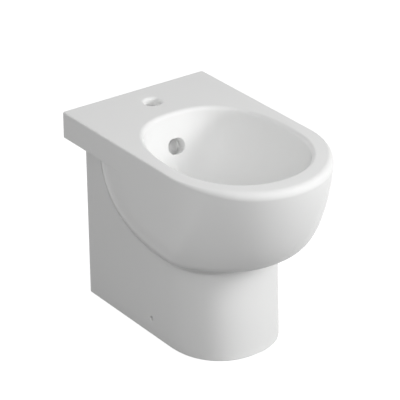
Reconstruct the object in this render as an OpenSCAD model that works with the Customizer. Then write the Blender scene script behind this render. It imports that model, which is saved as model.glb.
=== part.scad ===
// Floor standing, back to wall bidet with its pop-up waste, bottle trap and floor brackets.
// Frame: origin on the floor at the centre of the footprint, front -Y, wall +Y, up +Z, mm.

/* [Outer body] */
// width of deck and rim
body_w = 350; // [335:1:370]
// wall plane to front of rim
body_d = 550; // [535:1:575]
// floor to deck
body_h = 430; // [420:1:445]
// height of the straight slab round the deck
slab_t = 55; // [50:1:60]
// length of the rounded front half oval
nose_len = 190; // [175:1:205]
// thickness of the ceramic walls
wall_t = 10; // [8:0.5:12]
// thickness of the deck at the tap hole
deck_t = 18; // [16:0.5:22]
// vertical corners at the wall
corner_r = 6; // [3:0.5:10]
// edge round of the deck
edge_r = 3; // [2:0.5:5]
// edge round of the rim at the front
rim_edge_r = 15; // [8:0.5:17]

/* [Foot] */
// width of the foot at the floor
foot_w = 238; // [228:1:250]
// widening of each side up to the slab
foot_flare = 3.8; // [0:0.2:8]
// straight length of the foot's sides
foot_straight = 287; // [280:1:295]
// length of the foot's rounded front
foot_nose = 128; // [115:1:140]
// how far the foot's front leans back up to the bulge
foot_lean = 15; // [0:1:25]
// fullness of the foot's rounded front
foot_n = 2.2; // [2:0.1:2.8]

/* [Bulge] */
// lowest height of the bulge beside the foot
bulge_z = 198; // [188:1:210]
// lowest height of the bulge at the front
bulge_front_z = 215; // [205:1:225]
// height where the front becomes upright
bulge_top_z = 426; // [415:1:440]
// length over which the bulge runs out towards the wall
bulge_run = 228; // [215:1:245]
// height of the cove under the bulge at the sides
cove_side_h = 4; // [2:0.5:8]
// height of the cove under the bulge at the front
cove_front_h = 23; // [16:1:28]
// height of the cove at the middle of the front
cove_nose_h = 30; // [24:1:34]
// how far the cove reaches out from the foot at the front
cove_w = 38; // [30:1:44]

/* [Bowl] */
// clear width of the bowl opening
open_w = 284; // [274:1:290]
// wall plane to the widest line of the opening
open_y = 334; // [328:1:340]
// widest line to the front of the opening
open_front = 164; // [156:1:168]
// widest line to the back of the opening
open_back = 196; // [188:1:200]
// edge round of the opening
open_edge_r = 9; // [6:0.5:12]
// deck to the seat of the waste
bowl_depth = 175; // [168:1:180]
// wall plane to the axis of the waste
drain_y = 300; // [292:1:308]
// flat round the waste
seat_r = 35; // [34.5:0.5:38]
// outer radius of the boss under the bowl
boss_r = 37; // [36:0.5:40]
// boss below the seat
boss_len = 38; // [34:1:40]
// waste hole in the bowl
drain_d = 46; // [45:0.5:48]

/* [Holes] */
// tap hole
tap_d = 35; // [33:0.5:38]
// edge round of the tap hole
tap_edge_r = 6; // [3:0.5:7]
// wall plane to the tap hole
tap_y = 67.5; // [62:0.5:72]
// overflow hole
overflow_d = 32; // [26:0.5:34]
// edge round of the overflow hole
overflow_edge_r = 4.5; // [3:0.5:6]
// deck to the middle of the overflow hole
overflow_drop = 69; // [62:1:74]
// side fixing holes
side_hole_d = 10; // [9.5:0.5:12]
// height of the side fixing holes
side_hole_z = 38; // [32:1:46]
// wall plane to the side fixing holes
side_hole_y = 226; // [210:1:240]
// width of the opening in the back
service_w = 184; // [150:2:194]
// height of the opening in the back
service_h = 335; // [250:5:345]

/* [Waste] */
// flange of the waste
flange_d = 64; // [60:0.5:68]
// thickness of the flange
flange_t = 3; // [2.5:0.5:4]
// tube of the waste, outside
waste_d = 41.9; // [41:0.1:42.5]
// wall of the waste tube
waste_wall = 2; // [1.6:0.1:2.4]
// length of the waste below its flange
waste_len = 85; // [82:1:90]
// sealing ring under the flange
gasket_t = 2; // [1.5:0.5:3]
// rubber ring under the boss
boss_seal_t = 6; // [4:0.5:8]
// thickness of the clamping nut
backnut_t = 8; // [6:0.5:10]
// width over flats of the clamping nut
backnut_af = 58; // [56:1:62]
// hub in the waste that holds the guide housing
hub_d = 24; // [23.5:0.5:26]

/* [Press plug] */
// cap of the plug
cap_d = 61; // [57:0.5:62]
// height of the cap's dome
cap_dome = 6; // [4:0.5:9]
// travel of the plug
plug_travel = 9; // [6:0.5:10]
// rubber ring under the cap
plug_seal_t = 2.5; // [2:0.5:4]
// stem of the plug
stem_d = 8; // [7:0.5:8.5]
// guide housing
latch_d = 18; // [17.5:0.5:19]
// length of the guide housing
latch_len = 45; // [42:1:48]
// wire of the spring
wire_d = 1.1; // [0.8:0.1:1.2]
// turns of the spring
spring_turns = 6; // [4:1:8]

/* [Trap] */
// pipes in and out of the trap
pipe_d = 32; // [31.5:0.5:32.5]
// wall of the pipes
pipe_wall = 1.7; // [1.4:0.1:2]
// trap chamber
trap_d = 58; // [56:1:62]
// wall of the trap
trap_wall = 2.5; // [2:0.1:3]
// end of the waste to the top of the trap's neck
neck_drop = 26; // [25:1:30]
// top of the neck to the outlet
outlet_drop = 40; // [38:1:44]
// top of the neck to the lower edge of the chamber
trap_h = 84; // [80:1:88]
// top of the neck to the end of the dip tube
dip_drop = 104; // [98:1:108]
// top of the neck to the bottom of the cup
cup_drop = 126; // [122:1:132]
// axis of the trap to the end of its side outlet
stub_len = 60; // [56:1:68]
// rubber rings in the trap's joints
washer_t = 4; // [3:0.5:5]
// end of the outlet pipe that goes into the wall's socket, past its stop ring
spigot_len = 50; // [40:1:60]

/* [Brackets] */
// thickness of the brackets
bracket_t = 4; // [3:0.5:6]
// width of the brackets along the wall of the foot
bracket_w = 50; // [44:1:60]
// height of the brackets
bracket_h = 58; // [56:1:70]
// distance between the two floor holes
floor_hole_pitch = 160; // [150:1:166]
// floor hole in each bracket
floor_hole_d = 8; // [7:0.5:10]
// shank of the side screws
screw_d = 4.2; // [3.8:0.1:4.4]
// length of the side screws
screw_len = 22; // [20:1:24]

/* [Hidden] */
$fn = 72;
running_gap = 0.05;    // sliding stem and screwed joints, radial
slip_gap = 0.2;        // tubes pushed through rings and necks, radial
slab_z = body_h - slab_t;
foot_edge = 3;
bulge_hold = 0.49;     // share of the side bulge that stays upright below the slab
bulge_m = 2.42;        // shape of the crease seen from the side
blend_deg = 38;        // part of the front over which the side shape turns into the front shape
edge_blend_deg = 60;
side_p = 1.15;
side_q = 2.2;
front_p = 3.04;
front_q = 1.46;
cove_side = [cove_side_h, 6, 1.5];       // height, reach and fullness of the cove
cove_front = [cove_front_h, cove_w, 1.2];
cove_nose = [cove_nose_h, cove_w, 2];
cove_nose_deg = 60;
cove_share = 0.34;     // part of the bulge that gets the close rows of the cove
cove_rows = 6;
open_n_front = 2.14;
open_n_back = 2.41;
bowl_n = 1.6;
bowl_m = 1.87;
open_z = body_h - open_edge_r;
ceiling_z = body_h - max(deck_t, rim_edge_r + 1);
seat_z = body_h - bowl_depth;
boss_z = seat_z - boss_len;
core_r = drain_d / 2 - 2;
corner_n = 3;
side_n = 10;
nose_n = 12;
bulge_rows = 9;
inner_rows = 6;
bowl_rows = 10;
hidden_rows = 7;
round_rows = 3;

// overflow channel behind the bowl
duct_top_deg = 11;
duct_rings = 12;
duct_sides = 20;
duct_wide = [19, 11];      // half width, top and bottom
duct_deep = 7;             // half depth
duct_web = 2;              // between the wall of the bowl and the channel
duct_skin = 5;             // outside of the channel
duct_off = duct_web + duct_deep;
swell_flat = 13;           // half width of the swelling at full height
swell_fade = 18;
overflow_z = body_h - overflow_drop;

// heights of the waste, the plug and the trap, from the seat down
flange_z = seat_z + gasket_t;
flange_top = flange_z + flange_t;
flange_r = flange_d / 2;
waste_r = waste_d / 2;
waste_in = waste_r - waste_wall;
tail_z = flange_z - waste_len;
backnut_z = boss_z - boss_seal_t - backnut_t;
hub_lift = 5;
hub_z = boss_z + hub_lift;
hub_h = 14;
hub_r = hub_d / 2;
slot_h = 12;
slot_gap = 2;
slot_z = hub_z + hub_h + slot_gap;
slot_w = 12;
arm_w = 3;             // spider between hub and tube
arm_h = 11;
latch_r = latch_d / 2;
latch_lip = 2;
latch_top = hub_z + hub_h;
latch_z = latch_top - latch_len;
latch_floor = 3;
guide_len = 11;
stem_r = stem_d / 2;
spring_r = stem_r + 1.35;
cavity_r = spring_r + wire_d / 2 + 0.5;
collar_t = 3;
collar_top = latch_top - guide_len - 0.1;
cap_z = flange_top + plug_seal_t + plug_travel;
cap_r = cap_d / 2;
cap_edge = 1.2;
cap_screw = 2;         // thread of the stem in the cap
cap_hub_w = 3;
cap_hub_h = 5;
seal_lap = 8;          // plug's ring past the bore of the waste
pipe_r = pipe_d / 2;
pipe_in = pipe_r - pipe_wall;
stop_h = 1.5;
stop_t = 3;
dip_flange_t = 3;
tail_washer_t = 3;
dip_flange_z = tail_z - tail_washer_t - dip_flange_t;
nut_lip = 4;
nut_wall = 3.5;
rib_w = 3;             // grip ribs of the nuts and of the cup
rib_h = 1;
rib_end = 1;
tail_thread = 14;      // thread at the end of the waste
tail_nut_h = nut_lip + dip_flange_t + tail_washer_t + tail_thread;
neck_z = tail_z - neck_drop;
neck_r = pipe_r + 6;
neck_len = 10;
neck_root = 2;
trap_cone = 6;
roof_z = neck_z - neck_len - neck_root - trap_cone;
roof_t = 2;
trap_r = trap_d / 2;
trap_low = neck_z - trap_h;
outlet_z = neck_z - outlet_drop;
stub_r = pipe_r + 4;
socket_len = 18;
cup_z = neck_z - cup_drop;
cup_grip = 14;
ring_t = 2;
cup_in = trap_r - trap_wall - 1;
cup_out = trap_r + 2.6;
cup_floor = 3;
cup_round = 7;         // slanted lower edge of the cup

// side fixings
side_in = foot_w / 2 + foot_flare * side_hole_z / slab_z - wall_t;
bush_lip = 2;
bush_r = side_hole_d / 2 - running_gap;
bush_in = screw_d / 2 + slip_gap;
bush_spigot = 2.5;
head_t = 2.5;
head_r = side_hole_d / 2 - 0.5;
bracket_gap = 0.4;
bracket_end = 15;      // end of the bracket past its floor hole
web_t = 3;
bracket_x = side_in - bracket_gap - bush_lip;
boss_w = 12;
boss_out = 8;
pilot_r = screw_d / 2 + running_gap;

// ---- helpers -------------------------------------------------------------------------------

function mix(a, b, t) = a + (b - a) * t;
function power(x, e) = pow(max(0, x), e);
function smooth(x) = let (c = min(1, max(0, x))) c * c * (3 - 2 * c);

// moves a shape measured from the wall plane into the part's frame
module from_wall() {
    translate([0, body_d / 2, 0])
        children();
}

module at_drain(z = 0) {
    from_wall()
        translate([0, -drain_y, z])
            children();
}

module ring(outer, inner, h) {
    difference() {
        cylinder(r = outer, h = h);
        translate([0, 0, -1])
            cylinder(r = inner, h = h + 2);
    }
}

// round hole going down from z = 0, with a rounded mouth
module hole_cut(r, depth, edge_round, above) {
    arc = [for (a = [0 : 15 : 90])
        [r + edge_round * (1 - cos(a)), edge_round * (sin(a) - 1)]];
    rotate_extrude()
        polygon(concat([[0, -depth], [r, -depth]], arc, [[r + edge_round, above], [0, above]]));
}

// screwed ring: bore over a thread, lip that holds a washer, grip ribs outside
module union_nut(bore_r, lip_r, h, lip) {
    outer = bore_r + nut_wall;
    difference() {
        union() {
            cylinder(r = outer, h = h);
            for (a = [0 : 30 : 330])
                rotate(a)
                    translate([outer - 1, -rib_w / 2, rib_end])
                        cube([1 + rib_h, rib_w, h - 2 * rib_end]);
        }
        translate([0, 0, lip])
            cylinder(r = bore_r, h = h);
        translate([0, 0, -1])
            cylinder(r = lip_r, h = lip + 2);
    }
}

// ---- ceramic body --------------------------------------------------------------------------

// place of the service opening's side along the back, half width as a share
service_at = service_w / (foot_w - 2 * corner_r);

// place along the straight side for a share of the bulge's run-out
function side_at(v) = (foot_straight - bulge_run * v - corner_r) / (foot_straight - corner_r);

// stations round the outline: zone 0 back, 1 corner, 2 side, 3 front; place within the zone
half_stations = concat(
    [for (s = [0.05, 0.1, 0.15, 0.22, 0.5, service_at - 0.02, service_at]) [0, s]],
    [for (i = [0 : corner_n]) [1, 90 * i / corner_n]],
    [for (i = [0 : side_n - 1]) [2, side_at(1 - pow(i / side_n, 2))]],
    [for (i = [0 : nose_n - 1]) [3, 90 * i / nose_n]]);
half_count = len(half_stations);
stations = concat(
    [for (s = half_stations) [1, s[0], s[1]]],
    [[1, 3, 90]],
    [for (i = [half_count - 1 : -1 : 0]) [-1, half_stations[i][0], half_stations[i][1]]]);

// point of a D shaped outline, moved inwards by inset
function outline(st, half_w, straight, nose, n, inset) =
    let (r = max(1, corner_r - inset), x1 = half_w - inset - r, y1 = -inset - r, s = st[2])
    st[1] == 0 ? [x1 * s, -inset] :
    st[1] == 1 ? [x1 + r * sin(s), y1 + r * cos(s)] :
    st[1] == 2 ? [half_w - inset, mix(y1, -straight, s)] :
    [(half_w - inset) * power(cos(s), 2 / n), -straight - (nose - inset) * power(sin(s), 2 / n)];

function foot_at(st, z, inset) =
    outline(st, foot_w / 2 + foot_flare * z / slab_z, foot_straight,
            foot_nose - foot_lean * min(z, bulge_z) / bulge_z, foot_n, inset);

function rim_at(st, inset) =
    outline(st, body_w / 2, body_d - nose_len, nose_len, 2, inset);

// lower edge of the wall: the floor, or the top of the service opening
function base_at(st) = st[1] == 0 && st[2] < service_at - 0.001 ? service_h : 0;

function front_share(st) = st[1] == 3 ? smooth(st[2] / blend_deg) : 0;

function edge_at(st) =
    st[1] == 3 ? mix(edge_r, rim_edge_r, smooth(st[2] / edge_blend_deg)) : edge_r;

function low_at(st, inset) = inset + mix(bulge_z, bulge_front_z, front_share(st));

function high_at(st, inset) =
    inset + mix(mix(slab_z, bulge_z, bulge_hold), bulge_top_z, front_share(st));

function p_at(st) = mix(side_p, front_p, front_share(st));
function q_at(st) = mix(side_q, front_q, front_share(st));

// distance behind the end of the straight side, as a share of the bulge's run
function runout_at(st, inset) =
    st[1] < 2 ? 9 :
    st[1] == 3 ? 0 :
    let (v = (foot_straight + foot_at(st, 0, 0)[1]) / bulge_run)
    v + inset / bulge_run * smooth(v / 0.2);

// cove under the bulge as height, reach and fullness
function cove_at(st) =
    let (nose = st[1] == 3 ? smooth((st[2] - cove_nose_deg) / (90 - cove_nose_deg)) : 0)
    mix(mix(cove_side, cove_front, front_share(st)), cove_nose, nose);

// how far the cove hangs below the bulge, d is the distance out from the foot
function cove_drop(cove, d) =
    cove[0] * (1 - power(1 - power(1 - d / cove[1], cove[2]), 1 / cove[2]));

// share of the way from foot to rim at height z, front only
function share_at(st, z, inset) =
    let (top = high_at(st, inset), low = low_at(st, inset))
    st[1] < 3 ? 1 :
    power(1 - power((top - z) / (top - low), q_at(st)), 1 / p_at(st));

function bulge_height(st, g, inset) =
    let (t = power(1 - pow(g, p_at(st)), 1 / q_at(st)),
         low = low_at(st, inset), top = high_at(st, inset),
         z1 = slab_z + inset, v = runout_at(st, inset))
    v == 0 ? top - (top - low) * t :
    z1 - (z1 - low) * power(pow(mix(bulge_hold, 1, t), bulge_m) - pow(v, bulge_m), 1 / bulge_m);

// one row of the bulge; the cove belongs to the outside only
function bulge_point(st, g, inset) =
    let (wide = st[1] == 0 ? (body_w - foot_w) / 2 - foot_flare
                           : norm(rim_at(st, inset) - foot_at(st, slab_z, inset)),
         rise = st[1] == 0 ? 0.4 * (ceiling_z - slab_z - inset) * (1 - st[2]) * (g - 0.2) : 0,
         z = bulge_height(st, g, inset) + rise - (inset > 0 ? 0 : cove_drop(cove_at(st), wide * g)),
         full = share_at(st, body_h - edge_at(st), inset))
    concat(mix(foot_at(st, z, inset), rim_at(st, inset), g / full), [z]);

function rim_point(st, a) =
    let (e = edge_at(st)) concat(rim_at(st, e * (1 - cos(a))), [body_h - e * (1 - sin(a))]);

// direction of a station seen from the middle of the opening
function bearing(st) = let (p = rim_at(st, 0)) atan2(p[1] + open_y, p[0]);

function open_at(a, out) =
    let (deep = sin(a) > 0 ? open_back : open_front,
         n = sin(a) > 0 ? open_n_back : open_n_front,
         r = pow(pow(abs(cos(a)) / (open_w / 2 + out), n) + pow(abs(sin(a)) / (deep + out), n), -1 / n))
    [r * cos(a), r * sin(a) - open_y];

function drain_at(a, r) = [r * cos(a), r * sin(a) - drain_y];
function sink(f) = power(1 - pow(f, bowl_n), 1 / bowl_m);

function bowl_point(a, f) =
    concat(mix(drain_at(a, seat_r), open_at(a, 0), f), [mix(open_z, seat_z, sink(f))]);

// hidden side of the bowl, pushed out by a distance along its normal
function hidden_base(a, f) =
    let (in = boss_r + 2, out = norm(open_at(a, wall_t) - drain_at(a, in)))
    [in + out * f, mix(ceiling_z, seat_z - wall_t, sink(f))];

function hidden_off(a, f, by) =
    let (d = hidden_base(a, min(1, f + 0.02)) - hidden_base(a, max(0, f - 0.02)), t = d / norm(d),
         xy = mix(drain_at(a, boss_r + 2), open_at(a, wall_t), f))
    [xy[0] + by * t[1] * cos(a), xy[1] + by * t[1] * sin(a), hidden_base(a, f)[1] - by * t[0]];

// swelling of the hidden side round the overflow channel, fading out to both sides
function swell(a, f) =
    let (x = abs(mix(boss_r + 2, open_back, f) * cos(a)))
    sin(a) < 0 ? 0 : (duct_off + duct_deep + duct_skin) * (1 - smooth((x - swell_flat) / swell_fade));

function hidden_point(a, f) =
    let (p = hidden_off(a, f, swell(a, f))) [p[0], p[1], min(p[2], ceiling_z)];

bulge_shares = concat([for (i = [0 : cove_rows]) cove_share * pow(i / cove_rows, 2)],
                      [for (i = [3 : bulge_rows]) sin(90 * i / bulge_rows)]);

// closed section through the wall at one station: outside up, bowl down, hidden side back
function section(st) =
    let (a = bearing(st), base = base_at(st), g_out = share_at(st, body_h - edge_at(st) - 5, 0),
         g_in = share_at(st, ceiling_z - 5, wall_t))
    concat(
        [concat(foot_at(st, base, foot_edge / 2), [base])],
        [concat(foot_at(st, base, 0), [base + foot_edge])],
        [for (g = bulge_shares) bulge_point(st, g * g_out, 0)],
        [for (i = [0 : round_rows]) rim_point(st, 90 * i / round_rows)],
        [for (b = [0 : 30 : 90])
            concat(open_at(a, open_edge_r * (1 - sin(b))), [body_h - open_edge_r * (1 - cos(b))])],
        [for (i = [1 : bowl_rows]) bowl_point(a, cos(90 * i / bowl_rows))],
        [concat(drain_at(a, core_r), [seat_z])],
        [concat(drain_at(a, core_r), [boss_z])],
        [concat(drain_at(a, boss_r), [boss_z])],
        [for (i = [0 : hidden_rows]) hidden_point(a, sin(90 * i / hidden_rows))],
        [concat(rim_at(st, wall_t), [ceiling_z])],
        [for (i = [inner_rows : -1 : 0]) bulge_point(st, g_in * sin(90 * i / inner_rows), wall_t)],
        [concat(foot_at(st, base, wall_t), [base])]);

module shell() {
    sections = [for (st = stations) section(st)];
    rows = len(sections[0]);
    count = len(stations);
    points = [for (i = [0 : count - 1]) for (p = sections[i]) [stations[i][0] * p[0], p[1], p[2]]];
    faces = [for (i = [0 : count - 1]) for (j = [0 : rows - 1])
        let (k = (i + 1) % count, l = (j + 1) % rows)
        for (f = [[i * rows + j, k * rows + j, k * rows + l],
                  [i * rows + j, k * rows + l, i * rows + l]]) f];
    polyhedron(points, faces);
}

// middle line of the overflow channel in the plane x = 0, as [y, z]
function duct_line(deg) = let (p = hidden_off(90, cos(deg), duct_off)) [p[1], p[2]];

// hollow of the overflow channel, from behind the overflow hole down into the waste hole
module duct() {
    low = duct_line(90);
    line = concat([for (i = [0 : duct_rings]) duct_line(mix(duct_top_deg, 90, i / duct_rings))],
                  [[core_r - 3 - drain_y, low[1]]]);
    count = len(line);
    points = [for (i = [0 : count - 1])
        let (d = line[min(i + 1, count - 1)] - line[max(i - 1, 0)], t = d / norm(d),
             w = mix(duct_wide[0], duct_wide[1], i / (count - 1)))
        for (k = [0 : duct_sides - 1])
            let (a = 360 * (k + 0.5) / duct_sides, s = duct_deep * sin(a))
            [w * cos(a), line[i][0] - t[1] * s, line[i][1] + t[0] * s]];
    walls = [for (i = [0 : count - 2]) for (k = [0 : duct_sides - 1])
        let (a = i * duct_sides + k, b = i * duct_sides + (k + 1) % duct_sides)
        for (f = [[a, b, b + duct_sides], [a, b + duct_sides, a + duct_sides]]) f];
    first = [for (k = [duct_sides - 1 : -1 : 0]) k];
    last = [for (k = [0 : duct_sides - 1]) (count - 1) * duct_sides + k];
    polyhedron(points, concat(walls, [first, last]));
}

// the wall of the bowl at the overflow hole: place and slope, found on the back line of the bowl
function wall_deg(lo = 0, hi = 90, n = 14) =
    let (mid = (lo + hi) / 2)
    n == 0 ? mid :
    bowl_point(90, cos(mid))[2] > overflow_z ? wall_deg(mid, hi, n - 1) : wall_deg(lo, mid, n - 1);
overflow_at = bowl_point(90, cos(wall_deg()));
overflow_run = bowl_point(90, cos(wall_deg() + 4)) - bowl_point(90, cos(wall_deg() - 4));
overflow_tilt = atan2(-overflow_run[1], -overflow_run[2]);

module ceramic_body() {
    color("white")
        from_wall()
            difference() {
                shell();
                union() {
                    duct();
                    translate([0, -drain_y, boss_z - 1])
                        cylinder(d = drain_d, h = boss_len + 2);
                    translate([0, overflow_at[1], overflow_at[2]])
                        rotate([90 - overflow_tilt, 0, 0])
                            hole_cut(overflow_d / 2, wall_t + duct_off, overflow_edge_r, 8);
                }
                translate([0, -tap_y, body_h])
                    hole_cut(tap_d / 2, body_h - ceiling_z + 1, tap_edge_r, 1);
                for (s = [-1, 1])
                    translate([s * (side_in + wall_t), -side_hole_y, side_hole_z])
                        rotate([0, s * 90, 0])
                            hole_cut(side_hole_d / 2, wall_t + 3, 0.8, 3);
            }
}

// ---- waste ---------------------------------------------------------------------------------

module waste_body() {
    color("silver")
        at_drain()
            union() {
                difference() {
                    rotate_extrude()
                        polygon([[waste_in, tail_z], [waste_r, tail_z], [waste_r, flange_z],
                                 [flange_r, flange_z], [flange_r, flange_z + 1],
                                 [flange_r - 3, flange_top], [waste_in + 4, flange_top],
                                 [waste_in, flange_top - 2]]);
                    for (a = [0, 90])
                        rotate(a)
                            translate([-waste_d, -slot_w / 2, slot_z])
                                cube([2 * waste_d, slot_w, slot_h]);
                }
                translate([0, 0, hub_z])
                    ring(hub_r, latch_r + running_gap, hub_h);
                for (a = [30, 150, 270])
                    rotate(a)
                        translate([hub_r - 1, -arm_w / 2, hub_z])
                            cube([waste_in - hub_r + 2, arm_w, arm_h]);
            }
}

module flange_gasket() {
    color("dimgray")
        at_drain(seat_z)
            ring(flange_r - 1, waste_r + slip_gap, gasket_t);
}

module boss_seal() {
    inner = waste_r + slip_gap;
    spigot = drain_d / 2 - slip_gap;
    color("dimgray")
        at_drain(boss_z)
            rotate_extrude()
                polygon([[inner, -boss_seal_t], [boss_r - 3, -boss_seal_t], [boss_r - 2, 0],
                         [spigot, 0], [spigot, 3], [inner, 3]]);
}

module waste_backnut() {
    color("goldenrod")
        at_drain(backnut_z)
            difference() {
                cylinder(d = backnut_af / cos(30), h = backnut_t, $fn = 6);
                translate([0, 0, -1])
                    cylinder(r = waste_r + running_gap, h = backnut_t + 2);
            }
}

// ---- press plug ----------------------------------------------------------------------------

module plug_cap() {
    bore = stem_r + running_gap;
    hub = stem_r + cap_hub_w;
    dome = [for (a = [0 : 15 : 90]) [cap_r * cos(a), cap_edge + cap_dome * sin(a)]];
    color("silver")
        at_drain(cap_z)
            rotate_extrude()
                polygon(concat([[bore, -cap_hub_h], [hub, -cap_hub_h], [hub, 0], [cap_r - 0.6, 0]],
                               dome, [[0, cap_screw], [bore, cap_screw]]));
}

module plug_seal() {
    color("dimgray")
        at_drain(cap_z - plug_seal_t)
            ring(waste_in + seal_lap, waste_in + 1, plug_seal_t);
}

module plug_stem() {
    low = latch_z + latch_floor + plug_travel + 1;
    color("silver")
        at_drain()
            union() {
                translate([0, 0, low])
                    cylinder(r = stem_r, h = cap_z + cap_screw - low);
                translate([0, 0, collar_top - collar_t])
                    cylinder(r = cavity_r - slip_gap, h = collar_t);
            }
}

module latch_cartridge() {
    guide = stem_r + running_gap;
    color("gainsboro")
        at_drain(latch_z)
            rotate_extrude()
                polygon([[0, 0], [latch_r, 0], [latch_r, latch_len], [latch_r + 2, latch_len],
                         [latch_r + 2, latch_len + latch_lip], [guide, latch_len + latch_lip],
                         [guide, latch_len - guide_len], [cavity_r, latch_len - guide_len],
                         [cavity_r, latch_floor], [0, latch_floor]]);
}

module latch_spring() {
    low = latch_z + latch_floor + wire_d / 2;
    high = collar_top - collar_t - wire_d / 2;
    sides = 8;
    steps = spring_turns * 18;
    points = [for (i = [0 : steps]) for (k = [0 : sides - 1])
        let (a = 20 * i, b = 360 * k / sides, r = spring_r + wire_d / 2 * cos(b))
        [r * cos(a), r * sin(a), mix(low, high, i / steps) + wire_d / 2 * sin(b)]];
    walls = [for (i = [0 : steps - 1]) for (k = [0 : sides - 1])
        let (a = i * sides + k, b = i * sides + (k + 1) % sides)
        for (f = [[a, b, b + sides], [a, b + sides, a + sides]]) f];
    first = [for (k = [sides - 1 : -1 : 0]) k];
    last = [for (k = [0 : sides - 1]) steps * sides + k];
    color("silver")
        at_drain()
            polyhedron(points, concat(walls, [first, last]));
}

// ---- trap ----------------------------------------------------------------------------------

module tail_nut() {
    color("whitesmoke")
        at_drain(dip_flange_z - nut_lip)
            union_nut(waste_r + running_gap, pipe_r + slip_gap, tail_nut_h, nut_lip);
}

module tail_washer() {
    color("dimgray")
        at_drain(tail_z - tail_washer_t)
            ring(waste_r - 0.4, pipe_in + 0.5, tail_washer_t);
}

module dip_tube() {
    top = dip_flange_z + dip_flange_t;
    color("whitesmoke")
        at_drain()
            rotate_extrude()
                polygon([[pipe_in, neck_z - dip_drop], [pipe_r, neck_z - dip_drop],
                         [pipe_r, dip_flange_z], [waste_r - 0.4, dip_flange_z],
                         [waste_r - 0.4, top], [pipe_in, top]]);
}

module trap_body() {
    color("whitesmoke")
        at_drain()
            difference() {
                union() {
                    translate([0, 0, trap_low])
                        cylinder(r = trap_r, h = roof_z - trap_low);
                    translate([0, 0, roof_z])
                        cylinder(r1 = trap_r, r2 = neck_r, h = trap_cone);
                    translate([0, 0, roof_z + trap_cone])
                        cylinder(r = neck_r, h = neck_root + neck_len);
                    translate([0, 0, outlet_z])
                        rotate([-90, 0, 0])
                            cylinder(r = stub_r, h = stub_len);
                }
                translate([0, 0, trap_low - 1])
                    cylinder(r = trap_r - trap_wall, h = roof_z - roof_t - trap_low + 1);
                translate([0, 0, roof_z - roof_t - 1])
                    cylinder(r = pipe_r + slip_gap, h = neck_z - roof_z + roof_t + 2);
                translate([0, 0, outlet_z])
                    rotate([-90, 0, 0])
                        cylinder(r = pipe_in, h = stub_len + 1);
                translate([0, stub_len - socket_len, outlet_z])
                    rotate([-90, 0, 0])
                        cylinder(r = pipe_r + slip_gap, h = socket_len + 1);
            }
}

module head_nut() {
    color("whitesmoke")
        at_drain(neck_z + washer_t + nut_lip)
            mirror([0, 0, 1])
                union_nut(neck_r + running_gap, pipe_r + slip_gap, neck_len + washer_t + nut_lip - 1,
                          nut_lip);
}

module head_washer() {
    color("dimgray")
        at_drain(neck_z)
            ring(neck_r - 0.4, pipe_r + running_gap, washer_t);
}

module trap_cup() {
    shelf = trap_low - ring_t;
    top = trap_low + cup_grip;
    color("whitesmoke")
        at_drain()
            union() {
                rotate_extrude()
                    polygon([[0, cup_z], [cup_out - 8, cup_z], [cup_out - 3, cup_z + 2],
                             [cup_out, cup_z + cup_round], [cup_out, top],
                             [trap_r + running_gap, top], [trap_r + running_gap, shelf],
                             [cup_in, shelf], [cup_in, cup_z + 8], [cup_in - 4, cup_z + cup_floor],
                             [0, cup_z + cup_floor]]);
                for (a = [0 : 30 : 330])
                    rotate(a)
                        translate([cup_out - 1, -rib_w / 2, cup_z + cup_round + rib_end])
                            cube([1 + rib_h, rib_w, top - cup_z - cup_round - 2 * rib_end]);
            }
}

module cup_ring() {
    color("dimgray")
        at_drain(trap_low - ring_t)
            ring(trap_r - 0.2, cup_in + 0.5, ring_t);
}

module outlet_nut() {
    h = socket_len + washer_t;
    color("whitesmoke")
        at_drain(outlet_z)
            translate([0, stub_len + washer_t + nut_lip, 0])
                rotate([90, 0, 0])
                    union_nut(stub_r + running_gap, pipe_r + slip_gap, h, nut_lip);
}

module outlet_washer() {
    color("dimgray")
        at_drain(outlet_z)
            translate([0, stub_len + washer_t, 0])
                rotate([90, 0, 0])
                    ring(stub_r - 0.4, pipe_r + running_gap, washer_t);
}

module outlet_pipe() {
    reach = drain_y - stub_len + socket_len - 1;
    color("whitesmoke")
        from_wall()
            translate([0, 0, outlet_z])
                rotate([90, 0, 0])
                    difference() {
                        union() {
                            cylinder(r = pipe_r, h = reach);
                            translate([0, 0, spigot_len])
                                cylinder(r = pipe_r + stop_h, h = stop_t);
                        }
                        translate([0, 0, -1])
                            cylinder(r = pipe_in, h = reach + 2);
                    }
}

// ---- floor brackets ------------------------------------------------------------------------

module bracket() {
    base_x = floor_hole_pitch / 2 - bracket_end;
    from_wall()
        translate([0, -side_hole_y, 0])
            difference() {
                union() {
                    translate([base_x, -bracket_w / 2, 0])
                        cube([bracket_x - base_x, bracket_w, bracket_t]);
                    translate([bracket_x - bracket_t, -bracket_w / 2, 0])
                        cube([bracket_t, bracket_w, bracket_h]);
                    translate([bracket_x, 0, side_hole_z])
                        rotate([0, -90, 0])
                            cylinder(r = boss_out, h = boss_w + bracket_t);
                    for (y = [-bracket_w / 2, bracket_w / 2 - web_t])
                        translate([0, y + web_t, 0])
                            rotate([90, 0, 0])
                                linear_extrude(web_t)
                                    polygon([[base_x + 6, bracket_t - 1],
                                             [bracket_x - 1, bracket_t - 1],
                                             [bracket_x - 1, bracket_h - 4]]);
                }
                translate([floor_hole_pitch / 2, 0, -1])
                    cylinder(d = floor_hole_d, h = bracket_t + 2);
                translate([bracket_x + 1, 0, side_hole_z])
                    rotate([0, -90, 0])
                        cylinder(r = pilot_r, h = boss_w + bracket_t + 2);
            }
}

module bracket_left() {
    color("slategray")
        mirror([1, 0, 0])
            bracket();
}

module bracket_right() {
    color("slategray")
        bracket();
}

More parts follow.
